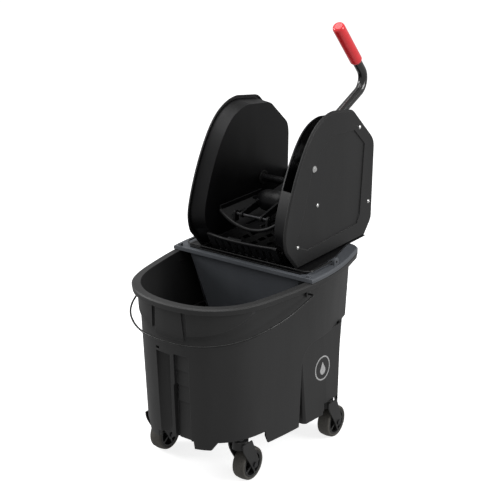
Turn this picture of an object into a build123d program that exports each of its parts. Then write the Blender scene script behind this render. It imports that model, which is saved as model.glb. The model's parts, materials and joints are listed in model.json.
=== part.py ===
from build123d import *
import os
from math import atan2, cos, degrees, hypot, radians, sin, sqrt, tan

# Mop bucket with a down-press wringer. Millimetres, +Z up, floor at z = 0.
# The rounded front points to -Y, the wringer stands over the rear (+Y).

# Driving dimensions
HALF_WIDTH = 200           # widest half width of the bucket rim
FRONT_Y = -316             # front of the rim
REAR_Y = 220               # rear of the rim
RIM_Z = 446                # top of the bucket rim
WALL = 4                   # moulded wall of bucket and tub
RIM_FLANGE = 16            # rim overhang past the wall
RIM_DROP = 14              # height of the turned-down rim lip
DRAFT = 0.0367             # wall lean per millimetre of height
BOTTOM_Z = 84              # lowest edge of the skirt
FLOOR_Z = 122              # underside of the bucket floor
ARCH_Z = 288               # top of the narrowed lower rear
ARCH_Y = -40               # front edge of the narrowed lower rear

TUB_RIM = 10               # height of the tub flange on the bucket rim
TUB_FRONT_Y = -38          # front edge of the tub flange
TUB_BOTTOM_Z = 175

PLATE_X = 98               # inner face of each wringer side plate
COVER_X = 139              # outer face of each side cover
SHEET = 3                  # wringer moulding thickness
DECK_Z = RIM_Z + TUB_RIM   # wringer base stands on the tub flange
HOUSING_Z = DECK_Z + 4     # foot of the side housings
BASKET_HALF = PLATE_X - 0.6
BASKET_R = 138             # inner radius of the perforated bed
BASKET_MID_Z = 586         # height of the bed's centre line

LEVER = (53, 679)          # lever pivot, (y, z)
SHAFT = (190, 587)         # cross shaft, (y, z)
SHAFT_R = 9
ROD = (8, 553)             # press plate rod, (y, z)
LEVER_CRANK = 26           # crank radius on the lever hub
SHAFT_CRANK = 91           # crank radius on the cross shaft
LEVER_TRAVEL = 75          # degrees
SHAFT_TRAVEL = 20          # degrees
CRANK_MID = 79.3           # both cranks point this way at half travel, degrees
TUBE_X = 120               # plane of the handle tube
TUBE_R = 11
PRESS_R = 126              # bow of the press plate

BAIL = (-36, 420)          # bucket bail pivot, (y, z)
BAIL_REST = 13             # bail hangs this far below level, degrees
WIRE_R = 2.25

WHEEL_R = 40
TREAD = 32
TRAIL = 28                 # wheel axle behind the swivel
FORK_TOP = 110
STEM_R = 5.5
CASTERS = {
    "front_right": (121, -205),
    "front_left": (-121, -205),
    "rear_right": (165, 79),
    "rear_left": (-165, 79),
}

FIT = 0.05                 # radial clearance of a turning fit
SEAT = 0.1                 # radial clearance of a fixed pin
GAP = 0.6                  # space between mouldings that only lie together

SCREWS = [(72, 589), (244, 736), (294, 542.5), (-10, 511)]
SUNK_SCREW = 0             # this one stands in the cover's sunk panel
SCREW_R = 2.5
PIVOT_R = 6


# Plain building blocks

def block(x0, x1, y0, y1, z0, z1):
    return Pos((x0 + x1) / 2, (y0 + y1) / 2, (z0 + z1) / 2) * Box(x1 - x0, y1 - y0, z1 - z0)


def rod_x(radius, x0, x1, centre):
    return Pos((x0 + x1) / 2, *centre) * Rot(0, 90, 0) * Cylinder(radius, x1 - x0)


def rod_z(radius, z0, z1, x, y):
    return Pos(x, y, (z0 + z1) / 2) * Cylinder(radius, z1 - z0)


def dome_x(foot_r, top_r, height, x, centre):
    """Low rivet or screw head standing on the plane at x."""
    return Pos(x + height / 2, *centre) * Rot(0, 90, 0) * Cone(foot_r, top_r, height)


def ring_x(outer, inner, x0, x1, centre):
    return rod_x(outer, x0, x1, centre) - rod_x(inner, x0 - 1, x1 + 1, centre)


def slab(sketch, x0, x1):
    """Side-view sketch, (y, z) drawn as (x, y), made x0 to x1 thick."""
    return extrude(Plane.YZ.offset(x0) * sketch, x1 - x0)


def polygon(*points):
    return make_face(Polyline(*points, close=True))


def front_slab(sketch, y0, y1):
    """Front-view sketch, (x, z) drawn as (x, y), reaching from y0 back to y1."""
    return extrude(Plane.XZ.offset(-y1) * sketch, y1 - y0)


def hull_bar(a, b, radius_a, radius_b, x0, x1):
    """Flat bar in side view with rounded ends about the points a and b."""
    angle = degrees(atan2(b[1] - a[1], b[0] - a[0]))
    length = hypot(b[0] - a[0], b[1] - a[1])
    web = polygon((0, -radius_a), (length, -radius_b), (length, radius_b), (0, radius_a))
    web = Pos(*a) * Rot(0, 0, angle) * web
    return slab(web, x0, x1) + rod_x(radius_a, x0, x1, a) + rod_x(radius_b, x0, x1, b)


def polar(centre, radius, angle):
    return (centre[0] + radius * cos(radians(angle)), centre[1] + radius * sin(radians(angle)))


def both_sides(solid):
    return solid + mirror(solid, about=Plane.YZ)


# Bucket

MID_Y = (FRONT_Y + REAR_Y) / 2
HALF_LENGTH = (REAR_Y - FRONT_Y) / 2


def plan(inset, z):
    """Bucket outline seen from above, pulled in by inset, at height z."""
    across = 1 - inset / HALF_WIDTH
    along = 1 - inset / HALF_LENGTH

    def at(x, y):
        return (x * across, MID_Y + (y - MID_Y) * along, z)

    right = [(87, -299), (150, -243), (180, -150), (HALF_WIDTH, 31), (185, 143)]
    left = [(-x, y) for x, y in reversed(right)]
    front = Spline(*[at(x, y) for x, y in left + [(0, FRONT_Y)] + right])
    lines = [front]
    for side in (1, -1):
        lines.append(Line(at(185 * side, 143), at(173 * side, 190)))
        lines.append(Bezier(at(173 * side, 190), at(166 * side, REAR_Y), at(138 * side, REAR_Y)))
    lines.append(Line(at(-138, REAR_Y), at(138, REAR_Y)))
    return make_face(lines)


def lean(z):
    """How far the outer wall lies inside the rim outline at height z."""
    return RIM_FLANGE + DRAFT * (RIM_Z - RIM_DROP - z)


def body(extra, z0, z1):
    return loft([plan(lean(z0) + extra, z0), plan(lean(z1) + extra, z1)])


def rim_band(z0, z1, foot_inset, top_inset):
    """Solid band along the rim outline with an eased top edge."""
    return loft([plan(foot_inset, z0), plan(0, z1 - 3)]) + loft([plan(0, z1 - 3), plan(top_inset, z1)])


def rear_zone(extra):
    """Space in which the lower rear of the bucket is narrowed, seen from the side."""
    front = ARCH_Y - extra
    top = ARCH_Z + extra
    arch = make_face([
        Polyline((front, top - 45), (front, 40), (300, 40), (300, top), (front + 45, top)),
        Bezier((front + 45, top), (front + 5, top - 5), (front, top - 45)),
    ])
    return slab(arch, -260, 260)


def pod(inset, z0, z1):
    """Lower rear of the bucket: flat side panels behind a groove that widens downwards."""
    groove_low = [(148, ARCH_Y - 25), (148, ARCH_Y + 16), (168, ARCH_Y + 18), (174, ARCH_Y + 23)]
    groove_high = [(165, ARCH_Y - 25), (165, ARCH_Y - 4), (170, ARCH_Y - 2), (172, ARCH_Y)]
    low = groove_low + [(182, 60), (182, 106), (150, 150), (128, 160)]
    high = groove_high + [(174, 50), (172, 128), (156, 160), (134, 176)]

    def section(z):
        share = (z - BOTTOM_Z) / (ARCH_Z - BOTTOM_Z)
        half = []
        for (x0, y0), (x1, y1) in zip(low, high):
            x = x0 + (x1 - x0) * share
            y = y0 + (y1 - y0) * share
            back = inset if ARCH_Y - 20 < y < 0 else -inset if y > 105 else 0
            half.append((x - inset, y + back))
        return Pos(0, 0, z) * polygon(*half, *[(-x, y) for x, y in reversed(half)])

    return loft([section(z0), section(z1)])


def front_bulges():
    """Three shallow swellings below the rim at the front, each ending in a ledge."""
    swell = body(-4, ARCH_Z, RIM_Z - 6) - body(1.5, ARCH_Z - 1, RIM_Z)
    middle = polygon((-40, 360), (40, 360), (34, RIM_Z - 6), (-34, RIM_Z - 6))
    wing = make_face([
        Spline((48, 374), (86, 379), (118, 388), (154, 420)),
        Polyline((154, 420), (154, RIM_Z - 6), (46, RIM_Z - 6), (48, 374)),
    ])
    keep = front_slab(middle, -330, -200) + both_sides(front_slab(wing, -330, -150))
    return swell & keep


def front_channel():
    """Material taken from the bottom front: a scoop, stepped ledges and a slot."""
    scoop = rod_z(21, 60, 318, -23, -296)
    face = -300
    cuts = [scoop, block(5, 11, face, -278, 60, 248), block(-43, -33, face, -286, 322, 329)]
    for top, depth in ((322, 7), (283, 9.5), (247, 12), (207, 14.5)):
        cuts.append(block(8, 45, face, -294.5 + depth, 60, top))
    return cuts


def skirt_cuts():
    """Raised bottom edges that leave room for the casters and form the feet."""
    front = polygon(
        (-300, 0), (-300, 116), (-98, 116), (-86, 97), (-52, 97), (-50, 115),
        (50, 115), (52, 97), (86, 97), (98, 116), (300, 116), (300, 0),
    )
    heel = polygon((-150, 0), (-150, 104), (-141, BOTTOM_Z), (-141, 0))
    return [front_slab(front, -330, -150), slab(heel, -300, 300)]


def bail_ears():
    return both_sides(rod_x(8, 168, 187, BAIL))


def bucket_shell():
    outer = body(0, BOTTOM_Z, RIM_Z - 1) - rear_zone(0)
    outer += pod(0, BOTTOM_Z, ARCH_Z + 10) & rear_zone(2)
    inside = body(WALL, FLOOR_Z + WALL, RIM_Z + 1) - rear_zone(WALL)
    inside += pod(WALL, FLOOR_Z + WALL, ARCH_Z + 10 - WALL) & rear_zone(WALL + 2)
    under = body(WALL, 40, FLOOR_Z) - rear_zone(WALL)
    under += pod(WALL, 40, FLOOR_Z) & rear_zone(WALL + 2)
    outer += front_bulges()
    inside -= block(-52, 52, -340, -272, 100, 332)
    under -= block(-52, 52, -340, -272, 40, 332)
    shell = outer - inside - under

    lip = rim_band(RIM_Z - RIM_DROP, RIM_Z, 1.5, 3)
    lip -= loft([plan(5, RIM_Z - RIM_DROP - 1), plan(3.5, RIM_Z - 4)])
    lip -= body(WALL, RIM_Z - RIM_DROP - 2, RIM_Z + 1)
    shell += lip

    shell += bail_ears() - inside
    for x, y in CASTERS.values():
        shell += rod_z(14, FORK_TOP + 1, FLOOR_Z + 16, x, y)
    shell -= front_channel()
    shell -= skirt_cuts()
    for x, y in CASTERS.values():
        shell -= rod_z(37, 0, 93, x, y) + rod_z(33, 90, FORK_TOP + 1, x, y)
        shell -= rod_z(STEM_R + FIT, FORK_TOP, FLOOR_Z + 12, x, y)
    for side in (-1, 1):
        shell -= rod_x(WIRE_R + FIT, 179 * side - 20, 179 * side + 20, BAIL)
    return shell


def easy_radii(points):
    """Largest bend radius that fits each inner corner of a path."""
    radii = []
    for before, here, after in zip(points, points[1:], points[2:]):
        a = Vector(*here) - Vector(*before)
        b = Vector(*after) - Vector(*here)
        turn = radians(a.get_angle(b))
        radii.append(0.48 * min(a.length, b.length) / tan(turn / 2))
    return radii


def bucket_bail():
    """Wire bail, a U that clears the rim all round, hung from its two turned-in ends."""
    y, z = BAIL
    side_x = HALF_WIDTH + 1
    half = [(174, y), (side_x, y), (198, -150), (160, -256), (86, -311)]
    points = [(-x, py, z) for x, py in half] + [(0, -323, z)] + [(x, py, z) for x, py in reversed(half)]
    path = Wire(FilletPolyline(*points, radius=[5, *easy_radii(points[1:-1]), 5]).edges())
    wire = sweep(Plane(origin=path @ 0, z_dir=path % 0) * Circle(WIRE_R), path=path)
    return wire.rotate(Axis((0, y, z), (1, 0, 0)), BAIL_REST)


# Dirty-water tub

def tub_section(z, inset):
    """Eight-sided tub outline, narrower and more chamfered lower down."""
    depth = (RIM_Z - z) / (RIM_Z - TUB_BOTTOM_Z)

    def mix(top, bottom):
        return top + (bottom - top) * depth

    front = mix(-28, 8) + inset
    wide = mix(169, 132) - inset
    side = [
        (mix(156, 76) - inset * 0.6, front),
        (wide, mix(-12, 46) + inset * 0.3),
        (mix(147, 118) - inset, mix(172, 112)),
        (mix(124, 98) - inset * 0.6, mix(192, 130) - inset),
    ]
    points = side + [(-x, y) for x, y in reversed(side)]
    return Pos(0, 0, z) * polygon(*points)


def insert_tub():
    top = DECK_Z - 2
    shell = loft([tub_section(TUB_BOTTOM_Z, 0), tub_section(top, 0)])
    rear_of_front = block(-260, 260, TUB_FRONT_Y, 300, RIM_Z - 40, DECK_Z + 1)
    flange = rim_band(RIM_Z + GAP, DECK_Z, 0, 2.5)
    tub = shell + (flange & rear_of_front)
    tub -= loft([tub_section(TUB_BOTTOM_Z + WALL, WALL), tub_section(DECK_Z + 1, WALL)])
    for side in (-1, 1):
        ear = rod_x(9, 0, 7, (76, DECK_Z + 7)) + block(0, 7, 67, 85, DECK_Z - 2, DECK_Z + 7)
        ear -= rod_x(WIRE_R + SEAT, -1, 8, (76, DECK_Z + 7))
        tub += Pos(181.5 if side > 0 else -188.5, 0, 0) * ear
    for x in (-186, 178):
        tub += block(x, x + 8, -35, -26, DECK_Z - 1, DECK_Z + 6)
    return tub


def insert_bail():
    """Wire carrying bail of the tub, lying down along its rim behind the front bar."""
    z = DECK_Z + 7
    low = DECK_Z + 6.5
    arm = 178
    half = [(190, 76, z), (arm, 76, z), (arm - 2, -19, low)]
    points = half + [(-x, py, pz) for x, py, pz in reversed(half)]
    path = Wire(FilletPolyline(*points, radius=[6, 18, 18, 6]).edges())
    return sweep(Plane(origin=path @ 0, z_dir=path % 0) * Circle(2), path=path)


# Wringer mouldings

HOUSING_MID = (128, 628)
HOUSING_HALF = (188, 168)


def side_view(inset, reach=0):
    """Side view of a wringer housing, pulled in by inset; reach moves its top rear corner back out."""
    along = 1 - inset / HOUSING_HALF[0]
    up = 1 - inset / HOUSING_HALF[1]

    def at(y, z):
        return (HOUSING_MID[0] + (y - HOUSING_MID[0]) * along, HOUSING_MID[1] + (z - HOUSING_MID[1]) * up)

    nose = [(-52, 506), (-60, 535), (-50, 592), (-4, 696), (30, 746), (66, 778), (100, 792), (135, 796)]
    return make_face([
        Spline(*[at(y, z) for y, z in nose]),
        Line(at(135, 796), at(206 + reach, 785)),
        Bezier(at(206 + reach, 785), at(218 + reach, 783), at(230 + reach, 771)),
        Line(at(230 + reach, 771), at(302, 706 + reach)),
        Bezier(at(302, 706 + reach), at(316, 694 + reach), at(316, 676)),
        Line(at(316, 676), at(313, 500)),
        Bezier(at(313, 500), at(312, 492), at(305, 484)),
        Line(at(305, 484), at(284, HOUSING_Z)),
        Line(at(284, HOUSING_Z), at(-11, HOUSING_Z)),
        Line(at(-11, HOUSING_Z), at(-52, 506)),
    ])


def side_loft(inset0, x0, inset1, x1, reach=0):
    return loft([Plane.YZ.offset(x0) * side_view(inset0, reach), Plane.YZ.offset(x1) * side_view(inset1)])


def housing(open_for_lever):
    """Right-hand housing: inner plate, sloping band that ends inside the cover, screw posts."""
    inner = 17
    outer = 8
    reach = 14
    band_end = COVER_X - SHEET - GAP
    pan = side_loft(inner, PLATE_X, outer, band_end, reach)
    pan -= side_loft(inner + SHEET, PLATE_X + SHEET, outer + SHEET, band_end + 0.01, reach)
    pan += slab(polygon((0, HOUSING_Z), (274, HOUSING_Z), (274, 492), (-16, 492)), PLATE_X, PLATE_X + SHEET)
    for centre in SCREWS:
        pan += rod_x(5, PLATE_X + 1, COVER_X - 6.2, centre)
        pan -= rod_x(SCREW_R + SEAT, COVER_X - 22, COVER_X, centre)
    pan -= rod_x(12 + SEAT, PLATE_X - 1, PLATE_X + SHEET + 1, SHAFT)
    if open_for_lever:
        pan -= rod_x(PIVOT_R + SEAT, PLATE_X - 1, PLATE_X + SHEET + 1, LEVER)
        sweep_gap = polygon((-40, 640), (20, 640), (110, 720), (232, 720), (232, 820), (-40, 820))
        pan -= slab(sweep_gap, PLATE_X + SHEET + 1, COVER_X)
    return pan


def recess_view(grow):
    """Panel sunk into the cover, in side view."""
    return offset(polygon(
        (125, 741), (221, 734), (269, 692), (256, 520), (244, 499),
        (30, 494), (-18, 515), (16, 589), (43, 671), (78, 712),
    ), grow)


def cover(holds_pivot):
    """Right-hand cover: shallow pan with a rounded edge and a sunk panel."""
    low = COVER_X - 6
    pan = side_loft(0, low, 0, COVER_X - 4) + side_loft(0, COVER_X - 4, 4, COVER_X)
    pan -= side_loft(SHEET, low - 1, SHEET, COVER_X - SHEET)
    pan += slab(recess_view(2), COVER_X - 5.5, COVER_X - 2)
    pan -= slab(recess_view(0), COVER_X - 2.5, COVER_X + 1)
    for centre in SCREWS:
        pan -= rod_x(SCREW_R + SEAT, low - 2, COVER_X + 1, centre)
    if holds_pivot:
        pan -= rod_x(PIVOT_R + SEAT, low - 2, COVER_X + 1, LEVER)
    return pan


def cover_screws():
    """Dome-headed screws that hold one cover."""
    solids = []
    for number, centre in enumerate(SCREWS):
        face = COVER_X - 2.5 if number == SUNK_SCREW else COVER_X
        shank = rod_x(SCREW_R, COVER_X - 20, face + 0.8, centre)
        solids.append(shank + dome_x(5, 3.2, 2.4, face + 0.3, centre))
    return solids


def wringer_base():
    """Deck on the tub flange with the perforated pressing basket."""
    half_plan = [(156, -27), (168, -12), (160, 120), (138, 204)]
    deck_plan = polygon(*half_plan, *[(-x, y) for x, y in reversed(half_plan)])
    deck = Pos(0, 0, DECK_Z + 0.4) * extrude(deck_plan, SHEET)
    deck -= block(-92, 92, -20, 196, DECK_Z - 5, DECK_Z + 10)
    for side in (-1, 1):
        deck += Pos(118 * side, 240, DECK_Z + 1.9) * Box(40, 90, SHEET)

    y0, z0 = -2, BASKET_MID_Z - BASKET_R
    y1, z1 = -38, 505
    bed_back = 176
    trough = Cylinder(BASKET_R + SHEET, 240) - Cylinder(BASKET_R, 244)
    trough = Pos(0, 70, BASKET_MID_Z) * Rot(90, 0, 0) * trough
    bed_side = polygon((y0, z0 - 12), (y0, z0), (y1, z1), (y1, 512), (bed_back, 512), (bed_back, z0 - 12))
    trough &= slab(bed_side, -BASKET_HALF, BASKET_HALF)

    front = slab(polygon((y0, z0 - 3), (y0 + 4, z0 - 3), (y1 + 4, z1), (y1, z1)), -BASKET_HALF, BASKET_HALF)
    bow_r = 368
    bow_y = bow_r - 45
    shelf = rod_z(bow_r, 502, 505, 0, bow_y) & block(-BASKET_HALF, BASKET_HALF, -60, y1 + 4, 500, 507)
    end_y = bow_y - sqrt(bow_r**2 - BASKET_HALF**2)
    lip_path = ThreePointArc((-BASKET_HALF, end_y, 505), (0, -45, 505), (BASKET_HALF, end_y, 505))
    lip = sweep(Plane(origin=lip_path @ 0, z_dir=lip_path % 0) * Circle(3.5), path=lip_path)
    lip &= block(-BASKET_HALF, BASKET_HALF, -70, 0, 490, 520)
    tab = block(-32, 6, -44, -38, 503, 511)

    rear_y = 292
    rear = block(-BASKET_HALF, BASKET_HALF, rear_y, rear_y + 3.5, DECK_Z + 1, 584)
    rear += block(-BASKET_HALF, BASKET_HALF, rear_y - 3, rear_y, 578, 584)
    rear += block(-BASKET_HALF, BASKET_HALF, bed_back - SHEET, rear_y + 1, DECK_Z + 1, DECK_Z + 4)
    rear += block(-48, 48, bed_back - SHEET, bed_back, 449, DECK_Z + 4)
    base = deck + trough + front + shelf + lip + tab + rear

    holes = []
    for column in range(-3, 4):
        for row in range(5):
            slot = Pos(0, 18 + 33 * row, -BASKET_R) * Box(9, 22, 40)
            holes.append(Pos(0, 0, BASKET_MID_Z) * Rot(0, -10.5 * column, 0) * slot)
    slat = polygon((-42, 494), (-22, 494), (-2, 466), (-22, 466))
    for column in range(-4, 5):
        holes.append(slab(slat, column * 19 - 4, column * 19 + 4))
    return base - holes


# Press linkage

def crank_pin(centre, radius, travel, fraction):
    """Pin position on a crank, fraction 0 at rest and 1 at full stroke."""
    return polar(centre, radius, CRANK_MID + travel * (fraction - 0.5))


LEVER_PIN = crank_pin(LEVER, LEVER_CRANK, LEVER_TRAVEL, 0)
SHAFT_PIN = crank_pin(SHAFT, SHAFT_CRANK, SHAFT_TRAVEL, 0)
LINK_X = (103.5, 107.5)
CRANK_X = (108.5, 112.5)


def shaft_bush():
    tube = ring_x(12, SHAFT_R + FIT, PLATE_X - 3.4, PLATE_X + 5, SHAFT)
    return tube + ring_x(17, SHAFT_R + FIT, PLATE_X - 3.4, PLATE_X - 0.4, SHAFT)


def cross_shaft():
    return rod_x(SHAFT_R, -PLATE_X - 6, CRANK_X[1], SHAFT)


def shaft_crank():
    crank = hull_bar(SHAFT, SHAFT_PIN, 17, 9, *CRANK_X)
    crank -= rod_x(SHAFT_R + SEAT, CRANK_X[0] - 1, CRANK_X[1] + 1, SHAFT)
    return crank - rod_x(4 + SEAT, CRANK_X[0] - 1, CRANK_X[1] + 1, SHAFT_PIN)


def crank_link_pin(centre):
    """Plain pin fixed in a crank and reaching into the link."""
    return rod_x(4, LINK_X[0] - 0.5, CRANK_X[1] + 0.3, centre)


def link_bar():
    """Flat pull link. Its rear eye is a slot across the pull, the open joint of the loop."""
    angle = degrees(atan2(SHAFT_PIN[1] - LEVER_PIN[1], SHAFT_PIN[0] - LEVER_PIN[0]))
    half = (LEVER_TRAVEL / 2, SHAFT_TRAVEL / 2)
    mid_lever = polar(LEVER, LEVER_CRANK, CRANK_MID)
    mid_shaft = polar(SHAFT, SHAFT_CRANK, CRANK_MID)
    run = (mid_shaft[0] - mid_lever[0], mid_shaft[1] - mid_lever[1])
    sag = (LEVER_CRANK * (1 - cos(radians(half[0]))) - SHAFT_CRANK * (1 - cos(radians(half[1])))) / 2
    normal = (cos(radians(CRANK_MID)), sin(radians(CRANK_MID)))
    eye = (LEVER_PIN[0] + run[0] + sag * normal[0], LEVER_PIN[1] + run[1] + sag * normal[1])
    bar = hull_bar(LEVER_PIN, eye, 8, 8, *LINK_X) + rod_x(11, *LINK_X, eye)
    bar -= rod_x(4 + FIT, LINK_X[0] - 1, LINK_X[1] + 1, LEVER_PIN)
    slot = Pos(*eye) * Rot(0, 0, CRANK_MID - 90) * RectangleRounded(9.4, 13.2, 4.6)
    return bar - slab(slot, LINK_X[0] - 1, LINK_X[1] + 1)


def press_arm():
    """Arm from the cross shaft to a spindle-shaped boss, whose two cheeks carry the rod."""
    drop = degrees(atan2(SHAFT[1] - ROD[1], SHAFT[0] - ROD[0]))
    boss = polar(SHAFT, 100, 180 + drop)
    bulge = [(27, 22.5), (38, 14), (50, 4.5)]
    profile = make_face([
        Spline(*[(-x, r) for x, r in reversed(bulge)], (0, 26), *bulge),
        Polyline((50, 4.5), (57, 3.5), (57, 0), (-57, 0), (-57, 3.5), (-50, 4.5)),
    ])
    arm = Pos(0, *boss) * revolve(profile, Axis.X)
    arm += rod_x(16, -30, 30, SHAFT) + hull_bar(SHAFT, boss, 15, 18, -13, 13)
    arm += both_sides(hull_bar(ROD, boss, 7, 11, 25, 30))
    arm -= rod_x(SHAFT_R + SEAT, -31, 31, SHAFT)
    return arm - rod_x(3.5 + FIT, -31, 31, ROD)


def press_rod():
    return rod_x(3.5, -50, 50, ROD)


def press_plate():
    """Bowed plate with a rolled front rim and two lugs for the rod."""
    centre_z = 523 + PRESS_R
    front_y = -4
    back_y = 160
    half = 84
    length = back_y - front_y
    sheet = Pos(0, (front_y + back_y) / 2, centre_z) * Rot(90, 0, 0) * (
        Cylinder(PRESS_R, length) - Cylinder(PRESS_R - 3.5, length + 2)
    )
    sheet &= block(-half, half, front_y - 1, back_y + 1, 500, 560)
    edge_z = centre_z - sqrt(PRESS_R**2 - half**2)
    mid_r = PRESS_R - 1.75
    spread = atan2(half, centre_z - edge_z)
    end_x = mid_r * sin(spread)
    end_z = centre_z - mid_r * cos(spread)
    path = ThreePointArc((-end_x, front_y, end_z), (0, front_y, centre_z - mid_r), (end_x, front_y, end_z))
    rim = sweep(Plane(origin=path @ 0, z_dir=path % 0) * Circle(4.5), path=path)
    plate = sheet + rim
    for rib_x in (-60, -20, 20, 60):
        top = centre_z - sqrt(PRESS_R**2 - rib_x**2) + 8
        plate += block(rib_x - 1.5, rib_x + 1.5, front_y + 18, back_y - 6, top - 6, top + 1)
    plate += both_sides(block(half - 3, half, front_y, back_y, edge_z - 2, 568))
    base_z = centre_z - sqrt(PRESS_R**2 - 46**2)
    lug = block(43.5, 48.5, ROD[0] - 8, ROD[0] + 8, base_z - 1, ROD[1]) + rod_x(8, 43.5, 48.5, ROD)
    return plate + both_sides(lug) - rod_x(3.5 + SEAT, -60, 60, ROD)


# Lever

HANDLE_POINTS = [(66, 690), (150, 764), (304, 832), (169, 978)]
GRIP_LENGTH = 121


def lever_hub():
    """Hub on the pivot pin with the driving crank and the socket of the tube."""
    hub = rod_x(17, CRANK_X[0], TUBE_X + TUBE_R, LEVER)
    hub += hull_bar(LEVER, LEVER_PIN, 14, 8, *CRANK_X)
    start, bend = HANDLE_POINTS[:2]
    angle = degrees(atan2(bend[1] - start[1], bend[0] - start[0]))
    along_tube = Pos(TUBE_X, *start) * Rot(angle - 90, 0, 0)
    socket = along_tube * Pos(0, 0, 12) * Cylinder(TUBE_R + 0.8, 44)
    hub += socket & block(CRANK_X[0], TUBE_X + TUBE_R, -100, 400, 600, 900)
    hub -= along_tube * Pos(0, 0, 30) * Cylinder(TUBE_R + SEAT, 30)
    hub -= rod_x(PIVOT_R + FIT, CRANK_X[0] - 1, TUBE_X + TUBE_R + 1, LEVER)
    return hub - rod_x(4 + SEAT, CRANK_X[0] - 1, CRANK_X[1] + 1, LEVER_PIN)


def handle_path():
    """Centre line of the tube from the hub socket to the grip end."""
    start, bend, corner, tip = HANDLE_POINTS
    angle = atan2(bend[1] - start[1], bend[0] - start[0])
    seat = (start[0] + 16 * cos(angle), start[1] + 16 * sin(angle))
    return Wire(FilletPolyline(seat, bend, corner, tip, radius=[80, 32]).edges())


def handle_tube():
    path = Plane.YZ.offset(TUBE_X) * handle_path()
    section = Plane(origin=path @ 0, z_dir=path % 0) * (Circle(TUBE_R) - Circle(TUBE_R - 2))
    return sweep(section, path=path)


def handle_grip():
    """Moulded grip with a rounded end, pushed over the tube."""
    corner, tip = HANDLE_POINTS[2:]
    angle = degrees(atan2(tip[1] - corner[1], tip[0] - corner[0]))
    end = 4
    profile = make_face([
        Polyline((0, TUBE_R + SEAT), (0, 13), (3, 14.5), (GRIP_LENGTH - 6, 14.5)),
        Bezier((GRIP_LENGTH - 6, 14.5), (GRIP_LENGTH + end, 14.5), (GRIP_LENGTH + end, 6)),
        Polyline((GRIP_LENGTH + end, 6), (GRIP_LENGTH + end, 0), (GRIP_LENGTH + 0.5, 0),
                 (GRIP_LENGTH + 0.5, TUBE_R + SEAT), (0, TUBE_R + SEAT)),
    ])
    grip = revolve(profile, Axis.X)
    grip = Pos(-GRIP_LENGTH, 0, 0) * grip
    return Pos(TUBE_X, *tip) * Rot(angle, 0, 0) * Rot(0, 0, 90) * grip


def lever_pivot():
    """Riveted pin through the side plate, the lever hub and the cover."""
    pin = rod_x(PIVOT_R, PLATE_X - 1.5, COVER_X + 1, LEVER)
    pin += rod_x(9, PLATE_X - 3.4, PLATE_X - 0.4, LEVER)
    return pin + dome_x(8, 5, 3, COVER_X + 0.3, LEVER)


# Casters, drawn about their swivel axis

def caster_stem():
    stem = rod_z(STEM_R, FORK_TOP - 6, FLOOR_Z + 11, 0, 0)
    return stem + rod_z(9, FORK_TOP + 0.2, FORK_TOP + 0.7, 0, 0)


def caster_fork():
    """Hooded fork with two cheeks that carry the axle."""
    cheek_in = TREAD / 2 + 2.5
    cheek_out = cheek_in + 3
    axle = (TRAIL, WHEEL_R)
    side = make_face([
        Line((-17, FORK_TOP - 4), (17, FORK_TOP - 4)),
        Polyline((17, FORK_TOP - 4), (TRAIL + 14, WHEEL_R + 8), (TRAIL + 9, WHEEL_R - 8)),
        Line((TRAIL + 9, WHEEL_R - 8), (TRAIL - 8, WHEEL_R - 9)),
        Bezier((TRAIL - 8, WHEEL_R - 9), (-2, 70), (-17, 84), (-17, FORK_TOP - 4)),
    ])
    fork = slab(side, -cheek_out, -cheek_in) + slab(side, cheek_in, cheek_out)
    fork += rod_z(19, 90, FORK_TOP, 0, 0) & block(-cheek_out, cheek_out, -30, 30, 80, 120)
    fork -= rod_z(STEM_R + SEAT, FORK_TOP - 8, FORK_TOP + 1, 0, 0)
    return fork - rod_x(4 + SEAT, -30, 30, axle)


def caster_axle():
    axle = (TRAIL, WHEEL_R)
    reach = TREAD / 2 + 6
    heads = both_sides(rod_x(6.5, reach, reach + 2, axle))
    return rod_x(4, -reach - 1, reach + 1, axle) + heads


def caster_hub():
    axle = (TRAIL, WHEEL_R)
    half = TREAD / 2
    rim_r = WHEEL_R - 9
    hub = ring_x(rim_r, rim_r - 4, 1 - half, half - 1, axle)
    hub += rod_x(rim_r - 3, -2, 2, axle) + rod_x(10, -half, half, axle)
    for turn in range(5):
        spoke = Pos(0, TRAIL, WHEEL_R) * Rot(72 * turn, 0, 0) * Pos(0, 18, 0) * Box(2 * half - 4, 20, 4)
        hub += spoke
    return hub - rod_x(4 + FIT, -half - 1, half + 1, axle)


def caster_tyre():
    axle = (TRAIL, WHEEL_R)
    half = TREAD / 2
    shoulder = WHEEL_R - 4
    seat_r = WHEEL_R - 9 + SEAT
    inner = [(half - 2, seat_r), (half, seat_r + 2), (half, shoulder)]
    section = make_face([
        Polyline(*inner),
        ThreePointArc((half, shoulder), (0, WHEEL_R), (-half, shoulder)),
        Polyline(*[(-x, r) for x, r in reversed(inner)], inner[0]),
    ])
    return Pos(0, *axle) * revolve(section, Axis.X)


# Files

def save(name, shape):
    solids = shape if isinstance(shape, list) else [shape]
    group = Compound(children=[s for part in solids for s in part.solids()])
    export_step(group if len(group.solids()) > 1 else group.solids()[0], f"parts/{name}.step")


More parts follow.
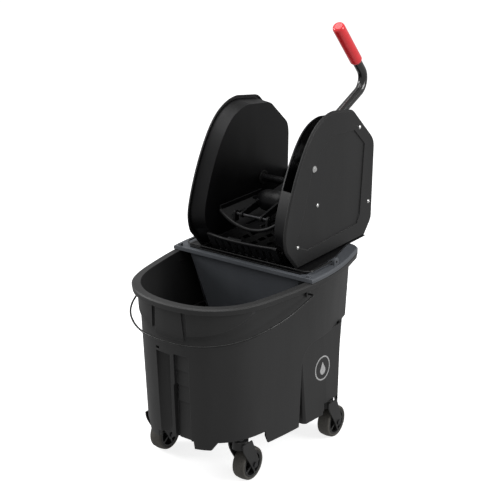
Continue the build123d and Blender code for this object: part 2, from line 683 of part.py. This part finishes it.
def main():
    os.makedirs("parts", exist_ok=True)
    save("bucket_shell", bucket_shell())
    save("bucket_bail", bucket_bail())
    save("insert_tub", insert_tub())
    save("insert_bail", insert_bail())
    save("wringer_base", wringer_base())
    save("right_housing", housing(open_for_lever=True))
    save("left_housing", mirror(housing(open_for_lever=False), about=Plane.YZ))
    save("right_cover", cover(holds_pivot=True))
    save("left_cover", mirror(cover(holds_pivot=False), about=Plane.YZ))
    save("right_cover_screws", cover_screws())
    save("left_cover_screws", [mirror(s, about=Plane.YZ) for s in cover_screws()])
    save("right_shaft_bush", shaft_bush())
    save("left_shaft_bush", mirror(shaft_bush(), about=Plane.YZ))
    save("cross_shaft", cross_shaft())
    save("shaft_crank", shaft_crank())
    save("shaft_crank_pin", crank_link_pin(SHAFT_PIN))
    save("press_arm", press_arm())
    save("press_rod", press_rod())
    save("press_plate", press_plate())
    save("link_bar", link_bar())
    save("lever_hub", lever_hub())
    save("lever_crank_pin", crank_link_pin(LEVER_PIN))
    save("handle_tube", handle_tube())
    save("handle_grip", handle_grip())
    save("lever_pivot", lever_pivot())
    pieces = {
        "stem": caster_stem(),
        "fork": caster_fork(),
        "axle": caster_axle(),
        "hub": caster_hub(),
        "tyre": caster_tyre(),
    }
    for place, (x, y) in CASTERS.items():
        for piece, shape in pieces.items():
            save(f"{place}_caster_{piece}", Pos(x, y, 0) * shape)


main()
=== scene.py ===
import bpy
import bmesh
import json
import math
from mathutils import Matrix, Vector


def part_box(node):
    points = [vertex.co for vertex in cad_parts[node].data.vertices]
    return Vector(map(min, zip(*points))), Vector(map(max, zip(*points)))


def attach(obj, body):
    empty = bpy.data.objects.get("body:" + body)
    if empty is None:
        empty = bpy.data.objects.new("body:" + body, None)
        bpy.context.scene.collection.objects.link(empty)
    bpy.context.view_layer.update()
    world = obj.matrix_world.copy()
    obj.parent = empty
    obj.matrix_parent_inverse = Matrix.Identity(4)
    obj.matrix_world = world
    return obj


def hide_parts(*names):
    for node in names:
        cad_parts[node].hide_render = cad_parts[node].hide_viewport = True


# Mop bucket with a down-press wringer, dressed over its CAD frame (metres, +Z up, rounded front at -Y).

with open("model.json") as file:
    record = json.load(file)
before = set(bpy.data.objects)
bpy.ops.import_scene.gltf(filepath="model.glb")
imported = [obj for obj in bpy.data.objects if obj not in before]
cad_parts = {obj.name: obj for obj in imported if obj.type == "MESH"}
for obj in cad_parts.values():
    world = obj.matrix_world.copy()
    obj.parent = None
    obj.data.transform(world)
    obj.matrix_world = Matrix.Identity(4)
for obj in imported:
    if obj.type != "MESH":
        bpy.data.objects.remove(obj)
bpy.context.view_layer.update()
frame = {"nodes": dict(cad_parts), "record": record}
nodes = frame["nodes"]


# three-quarter view from the lever side
cameraSetup = {
    "azimuth": 35.9,
    "elevation": 19.91,
    "distance": 2.8786,
    "lens": 89.58,
    "clipEnd": 60,
    "aim": (0.0, -0.0003, 0.4739),
}


def makeCamera(s):
    az = math.radians(s["azimuth"])
    el = math.radians(s["elevation"])
    away = Vector((math.sin(az) * math.cos(el), -math.cos(az) * math.cos(el), math.sin(el)))
    data = bpy.data.cameras.new("camera")
    data.lens = s["lens"]
    data.clip_end = s["clipEnd"]
    camera = bpy.data.objects.new("camera", data)
    camera.location = Vector(s["aim"]) + away * s["distance"]
    camera.rotation_euler = (-away).to_track_quat("-Z", "Y").to_euler()
    bpy.context.scene.collection.objects.link(camera)
    bpy.context.scene.camera = camera
    return camera


makeCamera(cameraSetup)


# pale seamless floor, dim surround and three large soft lights
studioSetup = {
    "floorHalf": 30.0,
    "floorColor": (0.62, 0.62, 0.62),
    "floorGlow": 0.80,
    "floorClouds": 3.0,
    "worldStrength": 0.42,
    "lightAim": (0, 0, 0.4),
    "lights": [
        {"name": "topLight", "at": (-0.4, -0.5, 3.6), "size": 3.0, "watts": 85},
        {"name": "rightLight", "at": (3.0, 0.9, 1.7), "size": 1.5, "watts": 58},
        {"name": "leftLight", "at": (-2.9, -1.3, 1.9), "size": 1.2, "watts": 48},
    ],
}


def makeStudio(s):
    half = s["floorHalf"]
    mesh = bpy.data.meshes.new("studioFloor")
    corners = [(-half, -half, 0), (half, -half, 0), (half, half, 0), (-half, half, 0)]
    mesh.from_pydata(corners, [], [(0, 1, 2, 3)])
    floor = bpy.data.objects.new("studioFloor", mesh)
    bpy.context.scene.collection.objects.link(floor)
    mat, tree, shader = newMaterial("paleFloor")
    cloud = noiseOn(tree, objectCoords(tree), s["floorClouds"])
    pale = mixColor(tree, cloud, s["floorColor"], tuple(c * 1.02 for c in s["floorColor"]))
    tree.links.new(pale, shader.inputs["Base Color"])
    shader.inputs["Roughness"].default_value = 0.95
    shader.inputs["Specular IOR Level"].default_value = 0.0
    shader.inputs["Emission Color"].default_value = (1, 1, 1, 1)
    shader.inputs["Emission Strength"].default_value = s["floorGlow"]
    mesh.materials.append(mat)
    floor.visible_diffuse = False  # the glow is for the backdrop, not a light on the bucket
    floor.visible_glossy = False
    world = bpy.data.worlds.new("studio")
    world.use_nodes = True
    world.node_tree.nodes["Background"].inputs["Color"].default_value = (1, 1, 1, 1)
    world.node_tree.nodes["Background"].inputs["Strength"].default_value = s["worldStrength"]
    bpy.context.scene.world = world
    for light in s["lights"]:
        data = bpy.data.lights.new(light["name"], "AREA")
        data.energy = light["watts"]
        data.size = light["size"]
        lamp = bpy.data.objects.new(light["name"], data)
        lamp.location = light["at"]
        toward = Vector(s["lightAim"]) - lamp.location
        lamp.rotation_euler = toward.to_track_quat("-Z", "Y").to_euler()
        bpy.context.scene.collection.objects.link(lamp)
    bpy.context.scene.view_settings.view_transform = "Standard"


def newMaterial(name):
    mat = bpy.data.materials.new(name)
    mat.use_nodes = True
    return mat, mat.node_tree, mat.node_tree.nodes["Principled BSDF"]


def objectCoords(tree, stretch=(1, 1, 1)):
    coords = tree.nodes.new("ShaderNodeTexCoord")
    mapping = tree.nodes.new("ShaderNodeMapping")
    mapping.inputs["Scale"].default_value = stretch
    tree.links.new(coords.outputs["Object"], mapping.inputs["Vector"])
    return mapping.outputs["Vector"]


def noiseOn(tree, vector, scale, detail=3.0, roughness=0.55):
    noise = tree.nodes.new("ShaderNodeTexNoise")
    noise.inputs["Scale"].default_value = scale
    noise.inputs["Detail"].default_value = detail
    noise.inputs["Roughness"].default_value = roughness
    tree.links.new(vector, noise.inputs["Vector"])
    return noise.outputs["Fac"]


def remap(tree, value, low, high, toLow, toHigh):
    node = tree.nodes.new("ShaderNodeMapRange")
    node.inputs["From Min"].default_value = low
    node.inputs["From Max"].default_value = high
    node.inputs["To Min"].default_value = toLow
    node.inputs["To Max"].default_value = toHigh
    tree.links.new(value, node.inputs["Value"])
    return node.outputs["Result"]


def mixColor(tree, factor, a, b):
    node = tree.nodes.new("ShaderNodeMix")
    node.data_type = "RGBA"
    tree.links.new(factor, node.inputs["Factor"])
    for socket, value in (("A", a), ("B", b)):
        if isinstance(value, tuple):
            node.inputs[socket].default_value = (*value, 1)
        else:
            tree.links.new(value, node.inputs[socket])
    return node.outputs["Result"]


def bumpFrom(tree, height, strength, distance, normal=None):
    bump = tree.nodes.new("ShaderNodeBump")
    bump.inputs["Strength"].default_value = strength
    bump.inputs["Distance"].default_value = distance
    tree.links.new(height, bump.inputs["Height"])
    if normal is not None:
        tree.links.new(normal, bump.inputs["Normal"])
    return bump.outputs["Normal"]


edgeSamples = 4  # bevel rays for rounded edges


def softEdges(tree, radius):
    bevel = tree.nodes.new("ShaderNodeBevel")
    bevel.samples = edgeSamples
    bevel.inputs["Radius"].default_value = radius
    return bevel.outputs["Normal"]


def edgeWear(tree, radius, low, high):
    # 1 on sharp edges, 0 on flats, from how far the rounded normal leaves the true one
    rounded = tree.nodes.new("ShaderNodeBevel")
    rounded.samples = edgeSamples
    rounded.inputs["Radius"].default_value = radius
    geometry = tree.nodes.new("ShaderNodeNewGeometry")
    dot = tree.nodes.new("ShaderNodeVectorMath")
    dot.operation = "DOT_PRODUCT"
    tree.links.new(rounded.outputs["Normal"], dot.inputs[0])
    tree.links.new(geometry.outputs["Normal"], dot.inputs[1])
    return remap(tree, dot.outputs["Value"], high, low, 0.0, 1.0)


def mouldedPlastic(name, s):
    # spark-textured polyolefin: fine pebble, slow flow marks, paler rubbed edges
    mat, tree, shader = newMaterial(name)
    plain = objectCoords(tree)
    flow = objectCoords(tree, (1.0, 1.0, 0.25))
    mottle = remap(tree, noiseOn(tree, flow, s["flowScale"], 4), 0.35, 0.65, 0.0, 1.0)
    color = mixColor(tree, mottle, s["dark"], s["light"])
    wear = edgeWear(tree, radius=s["edge"] * 1.3, low=0.80, high=0.995)
    rubbed = tree.nodes.new("ShaderNodeMath")
    rubbed.operation = "MULTIPLY"
    rubbed.inputs[1].default_value = s["wear"]
    tree.links.new(wear, rubbed.inputs[0])
    color = mixColor(tree, rubbed.outputs["Value"], color, s["rubbed"])
    tree.links.new(color, shader.inputs["Base Color"])
    sheen = noiseOn(tree, flow, s["flowScale"] * 2.3, 5)
    rough = remap(tree, sheen, 0.3, 0.7, s["rough"] - 0.05, s["rough"] + 0.06)
    tree.links.new(rough, shader.inputs["Roughness"])
    pebble = noiseOn(tree, plain, s["pebbleScale"], 2, 0.5)
    normal = bumpFrom(tree, pebble, s["pebble"], 0.0004, softEdges(tree, s["edge"]))
    tree.links.new(normal, shader.inputs["Normal"])
    shader.inputs["IOR"].default_value = 1.49
    shader.inputs["Specular IOR Level"].default_value = s.get("specular", 0.38)
    return mat


def steelFinish(name, s):
    # plated or coated steel with a fine drawn grain
    mat, tree, shader = newMaterial(name)
    drawn = objectCoords(tree, s["grainStretch"])
    grain = noiseOn(tree, drawn, s["grainScale"], 3)
    cloud = noiseOn(tree, objectCoords(tree), s["cloudScale"], 4)
    color = mixColor(tree, remap(tree, cloud, 0.35, 0.65, 0, 1), s["dark"], s["light"])
    tree.links.new(color, shader.inputs["Base Color"])
    shader.inputs["Metallic"].default_value = s["metallic"]
    rough = remap(tree, grain, 0.3, 0.7, s["rough"] - 0.06, s["rough"] + 0.08)
    tree.links.new(rough, shader.inputs["Roughness"])
    normal = bumpFrom(tree, grain, s["bump"], 0.0002, softEdges(tree, 0.0004))
    tree.links.new(normal, shader.inputs["Normal"])
    shader.inputs["Coat Weight"].default_value = s.get("coat", 0.0)
    shader.inputs["Coat Roughness"].default_value = 0.12
    return mat


def wheelRubber(name, s):
    # tread rubber: matt, clouded and speckled
    mat, tree, shader = newMaterial(name)
    plain = objectCoords(tree)
    speck = remap(tree, noiseOn(tree, plain, s["speckScale"], 2), 0.55, 0.72, 0, 1)
    cloud = remap(tree, noiseOn(tree, plain, s["cloudScale"], 4), 0.35, 0.65, 0, 1)
    color = mixColor(tree, cloud, s["dark"], s["light"])
    color = mixColor(tree, speck, color, s["speck"])
    tree.links.new(color, shader.inputs["Base Color"])
    shader.inputs["Roughness"].default_value = s["rough"]
    tooth = noiseOn(tree, plain, s["toothScale"], 3)
    normal = bumpFrom(tree, tooth, 0.3, 0.0003, softEdges(tree, 0.0008))
    tree.links.new(normal, shader.inputs["Normal"])
    return mat


def glossyGrip(name, s):
    # dipped vinyl grip: clear gloss over faint orange peel
    mat, tree, shader = newMaterial(name)
    plain = objectCoords(tree)
    cloud = remap(tree, noiseOn(tree, plain, s["cloudScale"], 3), 0.3, 0.7, 0, 1)
    tree.links.new(mixColor(tree, cloud, s["dark"], s["light"]), shader.inputs["Base Color"])
    smear = noiseOn(tree, plain, s["smearScale"], 4)
    rough = remap(tree, smear, 0.3, 0.7, s["rough"], s["rough"] + 0.08)
    tree.links.new(rough, shader.inputs["Roughness"])
    shader.inputs["Coat Weight"].default_value = 0.5
    shader.inputs["Coat Roughness"].default_value = 0.08
    peel = noiseOn(tree, plain, s["peelScale"], 2)
    normal = bumpFrom(tree, peel, 0.12, 0.0004, softEdges(tree, 0.001))
    tree.links.new(normal, shader.inputs["Normal"])
    return mat


makeStudio(studioSetup)
print("camera and studio ready")


finishes = {
    "bucket_plastic": mouldedPlastic("charcoalMoulding", {
        "dark": (0.020, 0.020, 0.0202), "light": (0.026, 0.026, 0.0262),
        "rubbed": (0.085, 0.085, 0.086),
        "flowScale": 7.0, "pebbleScale": 1500.0, "pebble": 0.22, "rough": 0.46,
        "edge": 0.0018, "wear": 0.45,
    }),
    "tub_plastic": mouldedPlastic("slateMoulding", {
        "dark": (0.078, 0.084, 0.094), "light": (0.094, 0.101, 0.112),
        "rubbed": (0.17, 0.18, 0.19),
        "flowScale": 8.0, "pebbleScale": 1500.0, "pebble": 0.20, "rough": 0.42,
        "edge": 0.0018, "wear": 0.5,
    }),
    # painted shade: the wringer is the same black plastic as the covers, but its base colour is cut to
    # about a third of theirs to paint in the deep shade on its inner walls
    "wringer_plastic": mouldedPlastic("blackMoulding", {
        "dark": (0.0030, 0.0030, 0.0034), "light": (0.0042, 0.0042, 0.0047),
        "rubbed": (0.05, 0.05, 0.052),
        "flowScale": 9.0, "pebbleScale": 1700.0, "pebble": 0.16, "rough": 0.40,
        "edge": 0.0015, "wear": 0.5,
        "specular": 0.22,
    }),
    "cover_plastic": mouldedPlastic("coverMoulding", {
        "dark": (0.010, 0.010, 0.0102), "light": (0.0135, 0.0135, 0.0138),
        "rubbed": (0.06, 0.06, 0.062),
        "flowScale": 6.0, "pebbleScale": 1300.0, "pebble": 0.28, "rough": 0.50,
        "edge": 0.0022, "wear": 0.45,
    }),
    "bush_plastic": mouldedPlastic("acetalBush", {
        "dark": (0.012, 0.012, 0.012), "light": (0.018, 0.018, 0.018),
        "rubbed": (0.05, 0.05, 0.05),
        "flowScale": 20.0, "pebbleScale": 2000.0, "pebble": 0.05, "rough": 0.28,
        "edge": 0.0008, "wear": 0.3,
    }),
    "caster_plastic": mouldedPlastic("nylonMoulding", {
        "dark": (0.014, 0.014, 0.014), "light": (0.021, 0.021, 0.021),
        "rubbed": (0.08, 0.08, 0.08),
        "flowScale": 25.0, "pebbleScale": 1800.0, "pebble": 0.15, "rough": 0.36,
        "edge": 0.0012, "wear": 0.5,
    }),
    "bail_wire": steelFinish("darkWire", {
        "dark": (0.020, 0.020, 0.020), "light": (0.034, 0.034, 0.034), "metallic": 0.6, "rough": 0.26,
        "grainStretch": (1, 1, 1), "grainScale": 900.0, "cloudScale": 40.0, "bump": 0.12,
    }),
    "bright_steel": steelFinish("brightPlate", {
        "dark": (0.62, 0.62, 0.61), "light": (0.80, 0.80, 0.79), "metallic": 1.0, "rough": 0.24,
        "grainStretch": (6, 1, 1), "grainScale": 700.0, "cloudScale": 90.0, "bump": 0.10,
    }),
    "zinc_steel": steelFinish("zincPlate", {
        "dark": (0.42, 0.43, 0.44), "light": (0.58, 0.59, 0.60), "metallic": 1.0, "rough": 0.38,
        "grainStretch": (1, 5, 1), "grainScale": 500.0, "cloudScale": 60.0, "bump": 0.15,
    }),
    "dark_steel": steelFinish("blackPlate", {
        "dark": (0.035, 0.035, 0.037), "light": (0.06, 0.06, 0.063), "metallic": 0.9, "rough": 0.30,
        "grainStretch": (0.2, 4, 4), "grainScale": 500.0, "cloudScale": 40.0, "bump": 0.12,
    }),
    "black_tube": steelFinish("blackPowderCoat", {
        "dark": (0.006, 0.006, 0.006), "light": (0.010, 0.010, 0.010), "metallic": 0.0, "rough": 0.24,
        "grainStretch": (1, 1, 1), "grainScale": 420.0, "cloudScale": 50.0, "bump": 0.14, "coat": 0.6,
    }),
    "grip_red": glossyGrip("redGrip", {
        "dark": (0.74, 0.022, 0.030), "light": (0.84, 0.032, 0.042), "rough": 0.24,
        "cloudScale": 30.0, "smearScale": 120.0, "peelScale": 420.0,
    }),
    "tyre": wheelRubber("treadRubber", {
        "dark": (0.062, 0.058, 0.051), "light": (0.088, 0.083, 0.073), "speck": (0.04, 0.037, 0.033),
        "speckScale": 420.0, "cloudScale": 40.0, "toothScale": 900.0, "rough": 0.72,
    }),
}


def dressNodes():
    slotOf = {part["node"]: part["material_slot"] for part in frame["record"]["subparts"]}
    for name, node in nodes.items():
        node.data.materials.clear()
        node.data.materials.append(finishes[slotOf[name]])
    print("materials on", len(nodes), "CAD nodes")


dressNodes()


weldGap = 1e-6  # metres between points that are merged


def addObject(name, mesh, body):
    obj = bpy.data.objects.new(name, mesh)
    bpy.context.scene.collection.objects.link(obj)
    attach(obj, body)
    return obj


def finishMesh(mesh, smoothAngle):
    work = bmesh.new()
    work.from_mesh(mesh)
    bmesh.ops.remove_doubles(work, verts=work.verts, dist=weldGap)
    bmesh.ops.recalc_face_normals(work, faces=work.faces)
    work.to_mesh(mesh)
    work.free()
    mesh.shade_smooth()
    mesh.set_sharp_from_angle(angle=math.radians(smoothAngle))


def islandBoxes(node):
    # lowest and highest corner of each separate solid of a CAD node
    work = bmesh.new()
    work.from_mesh(nodes[node].data)
    bmesh.ops.remove_doubles(work, verts=work.verts, dist=weldGap)
    left = set(work.verts)
    boxes = []
    while left:
        stack = [left.pop()]
        found = list(stack)
        while stack:
            for edge in stack.pop().link_edges:
                for vert in edge.verts:
                    if vert in left:
                        left.remove(vert)
                        stack.append(vert)
                        found.append(vert)
        lo = Vector([min(v.co[k] for v in found) for k in range(3)])
        hi = Vector([max(v.co[k] for v in found) for k in range(3)])
        boxes.append((lo, hi))
    work.free()
    return boxes


def newGeometryGroup(name, floats):
    group = bpy.data.node_groups.new(name, "GeometryNodeTree")
    group.interface.new_socket("Geometry", in_out="INPUT", socket_type="NodeSocketGeometry")
    for label, value in floats.items():
        socket = group.interface.new_socket(label, in_out="INPUT", socket_type="NodeSocketFloat")
        socket.default_value = value
    group.interface.new_socket("Material", in_out="INPUT", socket_type="NodeSocketMaterial")
    group.interface.new_socket("Geometry", in_out="OUTPUT", socket_type="NodeSocketGeometry")
    source = group.nodes.new("NodeGroupInput")
    sink = group.nodes.new("NodeGroupOutput")
    return group, source, sink


def chain(group, kind, **links):
    node = group.nodes.new(kind)
    for name, value in links.items():
        socket = node.inputs[name.replace("_", " ")]
        if hasattr(value, "is_output"):
            group.links.new(value, socket)
        else:
            socket.default_value = value
    return node


def bakeGroup(name, carrier, group, values):
    # runs the group on the carrier mesh and returns the result as a plain mesh
    holder = bpy.data.objects.new(name + "Carrier", carrier)
    bpy.context.scene.collection.objects.link(holder)
    modifier = holder.modifiers.new(name, "NODES")
    modifier.node_group = group
    for item in group.interface.items_tree:
        if item.in_out == "INPUT" and item.name in values:
            modifier[item.identifier] = values[item.name]
    depsgraph = bpy.context.evaluated_depsgraph_get()
    mesh = bpy.data.meshes.new_from_object(holder.evaluated_get(depsgraph), depsgraph=depsgraph)
    holder.modifiers.remove(modifier)
    bpy.data.objects.remove(holder)
    mesh.name = name
    return mesh


# cover screws: domed heads with a hexagon recess, on their shanks
coverScrews = {
    "sizes": {
        "Head Radius": 0.005,
        "Head Height": 0.0023,
        "Socket Radius": 0.0019,
        "Socket Depth": 0.0013,
        "Shank Radius": 0.0024,
        "Shank Length": 0.0195,
    },
    "headSegments": 40,
    "headRings": 20,
    "socketSides": 6,
    "shankSides": 24,
    "tipGap": 0.0001,
    "maxTurn": 60,
    "seed": 11,
    "smoothAngle": 35,
}


def screwGroup(s):
    group, source, sink = newGeometryGroup("coverScrews", {**s["sizes"], "Turn": 0.0})
    given = source.outputs
    size = chain(group, "ShaderNodeCombineXYZ",
                 X=given["Head Radius"], Y=given["Head Radius"], Z=given["Head Height"])
    ball = chain(group, "GeometryNodeMeshUVSphere",
                 Segments=s["headSegments"], Rings=s["headRings"], Radius=1.0)
    dome = chain(group, "GeometryNodeTransform",
                 Geometry=ball.outputs["Mesh"], Scale=size.outputs["Vector"])
    drum = chain(group, "GeometryNodeMeshCylinder",
                 Vertices=s["socketSides"], Radius=given["Socket Radius"], Depth=given["Socket Depth"])
    lift = chain(group, "ShaderNodeCombineXYZ", Z=given["Head Height"])
    recess = chain(group, "GeometryNodeTransform",
                   Geometry=drum.outputs["Mesh"], Translation=lift.outputs["Vector"])
    head = group.nodes.new("GeometryNodeMeshBoolean")
    head.operation = "DIFFERENCE"
    group.links.new(dome.outputs["Geometry"], head.inputs["Mesh 1"])
    group.links.new(recess.outputs["Geometry"], head.inputs["Mesh 2"])
    shank = chain(group, "GeometryNodeMeshCylinder",
                  Vertices=s["shankSides"], Radius=given["Shank Radius"], Depth=given["Shank Length"])
    half = chain(group, "ShaderNodeMath", Value=given["Shank Length"])
    half.operation = "MULTIPLY"
    half.inputs[1].default_value = -0.5
    drop = chain(group, "ShaderNodeCombineXYZ", Z=half.outputs["Value"])
    body = chain(group, "GeometryNodeTransform",
                 Geometry=shank.outputs["Mesh"], Translation=drop.outputs["Vector"])
    screw = group.nodes.new("GeometryNodeJoinGeometry")
    group.links.new(head.outputs["Mesh"], screw.inputs["Geometry"])
    group.links.new(body.outputs["Geometry"], screw.inputs["Geometry"])
    facing = chain(group, "ShaderNodeCombineXYZ", Y=given["Turn"])
    placed = chain(group, "GeometryNodeInstanceOnPoints", Points=given["Geometry"],
                   Instance=screw.outputs["Geometry"], Rotation=facing.outputs["Vector"])
    spin = group.nodes.new("FunctionNodeRandomValue")
    spin.data_type = "FLOAT"
    spin.inputs["Seed"].default_value = s["seed"]
    spin.inputs[3].default_value = math.radians(s["maxTurn"])  # the float maximum
    about = chain(group, "ShaderNodeCombineXYZ", Z=spin.outputs[1])
    turned = chain(group, "GeometryNodeRotateInstances", Instances=placed.outputs["Instances"],
                   Rotation=about.outputs["Vector"])
    real = chain(group, "GeometryNodeRealizeInstances", Geometry=turned.outputs["Instances"])
    coloured = chain(group, "GeometryNodeSetMaterial",
                     Geometry=real.outputs["Geometry"], Material=given["Material"])
    group.links.new(coloured.outputs["Geometry"], sink.inputs["Geometry"])
    return group


def screwSeats(s, node, sign):
    # under-head centre of each screw, set in from the tip of the CAD screw it replaces
    setIn = s["sizes"]["Head Height"] + s["tipGap"]
    seats = []
    for lo, hi in islandBoxes(node):
        tip = hi.x if sign > 0 else lo.x
        seats.append((tip - sign * setIn, (lo.y + hi.y) / 2, (lo.z + hi.z) / 2))
    return seats


def makeCoverScrews(s):
    group = screwGroup(s)
    for side, sign in (("right", 1), ("left", -1)):
        node = side + "_cover_screws"
        carrier = bpy.data.meshes.new(node + "Seats")
        carrier.from_pydata(screwSeats(s, node, sign), [], [])
        values = {**s["sizes"], "Turn": sign * math.pi / 2, "Material": finishes["bright_steel"]}
        mesh = bakeGroup(side + "Screws", carrier, group, values)
        finishMesh(mesh, s["smoothAngle"])
        obj = addObject(side + "Screws", mesh, "bucket")
        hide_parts(node)


makeCoverScrews(coverScrews)
print("cover screws set")


# tyres: turned section with shallow running grooves and rounded shoulders
tyreShape = {
    "steps": 128,
    "grooveCount": 5,
    "grooveSteps": 16,
    "grooveDepth": 0.0005,
    "grooveAtEdge": 0.2,
    "bandShare": 0.62,
    "shoulder": 0.004,
    "shoulderSteps": 8,
    "crownShare": 0.25,
    "bead": 0.002,
    "hubGap": 0.0001,
    "smoothAngle": 40,
}


def tyreProfile(s, outer, inner, half):
    # whole section as (x, radius): left bead, tread band with its grooves, right bead
    crown = outer - s["shoulder"] * s["crownShare"]
    points = []
    band = half * s["bandShare"]
    count = s["grooveSteps"] * s["grooveCount"]
    for i in range(count + 1):
        x = -band + 2 * band * i / count
        wave = 0.5 - 0.5 * math.cos(2 * math.pi * s["grooveCount"] * i / count)
        arch = (outer - crown) * (1 - (x / band) ** 2)
        fade = s["grooveAtEdge"] + (1 - s["grooveAtEdge"]) * (1 - abs(x) / band)
        points.append((x, crown + arch - s["grooveDepth"] * wave * fade))
    for i in range(1, s["shoulderSteps"] + 1):
        a = math.pi / 2 * i / s["shoulderSteps"]
        points.append((band + (half - band) * math.sin(a), crown - s["shoulder"] * (1 - math.cos(a))))
    points.append((half, inner + s["bead"]))
    points.append((half - s["bead"], inner))
    left = [(-x, r) for x, r in points if x > band]
    return list(reversed(left)) + points


def lathe(name, profile, centre, steps):
    mesh = bpy.data.meshes.new(name)
    verts = []
    faces = []
    count = len(profile)
    for i in range(steps):
        a = 2 * math.pi * i / steps
        for x, r in profile:
            verts.append((centre.x + x, centre.y + r * math.cos(a), centre.z + r * math.sin(a)))
        for j in range(count):
            k = (j + 1) % count
            n = (i + 1) % steps
            faces.append((i * count + j, i * count + k, n * count + k, n * count + j))
    mesh.from_pydata(verts, [], faces)
    return mesh


def makeTyres(s):
    for name in sorted(nodes):
        if not name.endswith("_tyre"):
            continue
        lo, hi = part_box(name)
        rimLo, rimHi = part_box(name.replace("_tyre", "_hub"))
        outer = (hi.z - lo.z) / 2
        inner = (rimHi.z - rimLo.z) / 2 + s["hubGap"]
        profile = tyreProfile(s, outer, inner, (hi.x - lo.x) / 2)
        mesh = lathe(name.replace("_caster", "") + "Turned", profile, (lo + hi) / 2, s["steps"])
        finishMesh(mesh, s["smoothAngle"])
        mesh.materials.append(finishes["tyre"])
        obj = addObject(mesh.name, mesh, name.replace("_caster_tyre", "_wheel"))
        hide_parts(name)


makeTyres(tyreShape)
print("tyres turned")


# printed mark on the lower side panels: a plain ring round a water drop
sideMark = {
    "centre": (0.045, 0.205),
    "ringRadius": 0.030,
    "ringWidth": 0.0034,
    "dropRadius": 0.0105,
    "dropHeight": 0.031,
    "dropSink": 0.18,
    "pinch": 0.55,
    "seedShare": 0.06,
    "castFrom": 0.3,
    "lift": 0.00025,
    "steps": 72,
    "rings": 3,
}


def markMaterial():
    # screen-printed ink: pale grey with fine wear
    mat, tree, shader = newMaterial("markInk")
    plain = objectCoords(tree)
    worn = remap(tree, noiseOn(tree, plain, 700, 4), 0.35, 0.62, 0, 1)
    ink = mixColor(tree, worn, (0.34, 0.34, 0.34), (0.52, 0.52, 0.52))
    tree.links.new(ink, shader.inputs["Base Color"])
    rough = remap(tree, noiseOn(tree, plain, 300, 3), 0.3, 0.7, 0.42, 0.58)
    tree.links.new(rough, shader.inputs["Roughness"])
    tree.links.new(bumpFrom(tree, noiseOn(tree, plain, 1500, 2), 0.2, 0.0002), shader.inputs["Normal"])
    return mat


def bandMesh(inside, outside, rings):
    # closed band between two loops of (y, z) points
    count = len(inside)
    flat = []
    for k in range(rings + 1):
        share = k / rings
        for a, b in zip(inside, outside):
            flat.append((a[0] + (b[0] - a[0]) * share, a[1] + (b[1] - a[1]) * share))
    faces = []
    for k in range(rings):
        for i in range(count):
            n = (i + 1) % count
            faces.append((k * count + i, k * count + n, (k + 1) * count + n, (k + 1) * count + i))
    return flat, faces


def markLoops(s):
    # inner and outer (y, z) loops of the ring, then of the drop from a small seed at its middle
    turns = [2 * math.pi * i / s["steps"] for i in range(s["steps"])]
    cy, cz = s["centre"]
    ring = [[(cy + r * math.cos(a), cz + r * math.sin(a)) for a in turns]
            for r in (s["ringRadius"] - s["ringWidth"], s["ringRadius"])]
    low = cz - s["dropHeight"] * s["dropSink"]
    drop = []
    for a in turns:
        point = max(0.0, math.sin(a)) ** 3 * (s["dropHeight"] - 2 * s["dropRadius"])
        pinch = 1 - s["pinch"] * max(0.0, math.sin(a)) ** 2
        y = cy + s["dropRadius"] * math.cos(a) * pinch
        drop.append((y, low + s["dropRadius"] * math.sin(a) + point))
    seed = [(cy + (y - cy) * s["seedShare"], low + (z - low) * s["seedShare"]) for y, z in drop]
    return ring, (seed, drop)


def makeMarks(s):
    shell = nodes["bucket_shell"]
    loops = markLoops(s)
    ink = markMaterial()
    for side, sign in (("right", 1), ("left", -1)):
        verts = []
        faces = []
        for inside, outside in loops:
            flat, quads = bandMesh(inside, outside, s["rings"])
            base = len(verts)
            for y, z in flat:
                start = Vector((sign * s["castFrom"], y, z))
                _, place, normal, _ = shell.ray_cast(start, Vector((-sign, 0, 0)))
                verts.append(place + normal * s["lift"])
            faces += [tuple(base + k for k in quad) for quad in quads]
        mesh = bpy.data.meshes.new(side + "Mark")
        mesh.from_pydata(verts, [], faces)
        for poly in mesh.polygons:
            if poly.normal.x * sign < 0:
                poly.flip()
        mesh.shade_smooth()
        mesh.materials.append(ink)
        addObject(side + "Mark", mesh, "bucket")


makeMarks(sideMark)
print("side marks printed")


def writeSizes():
    print("no sizes written")


writeSizes()
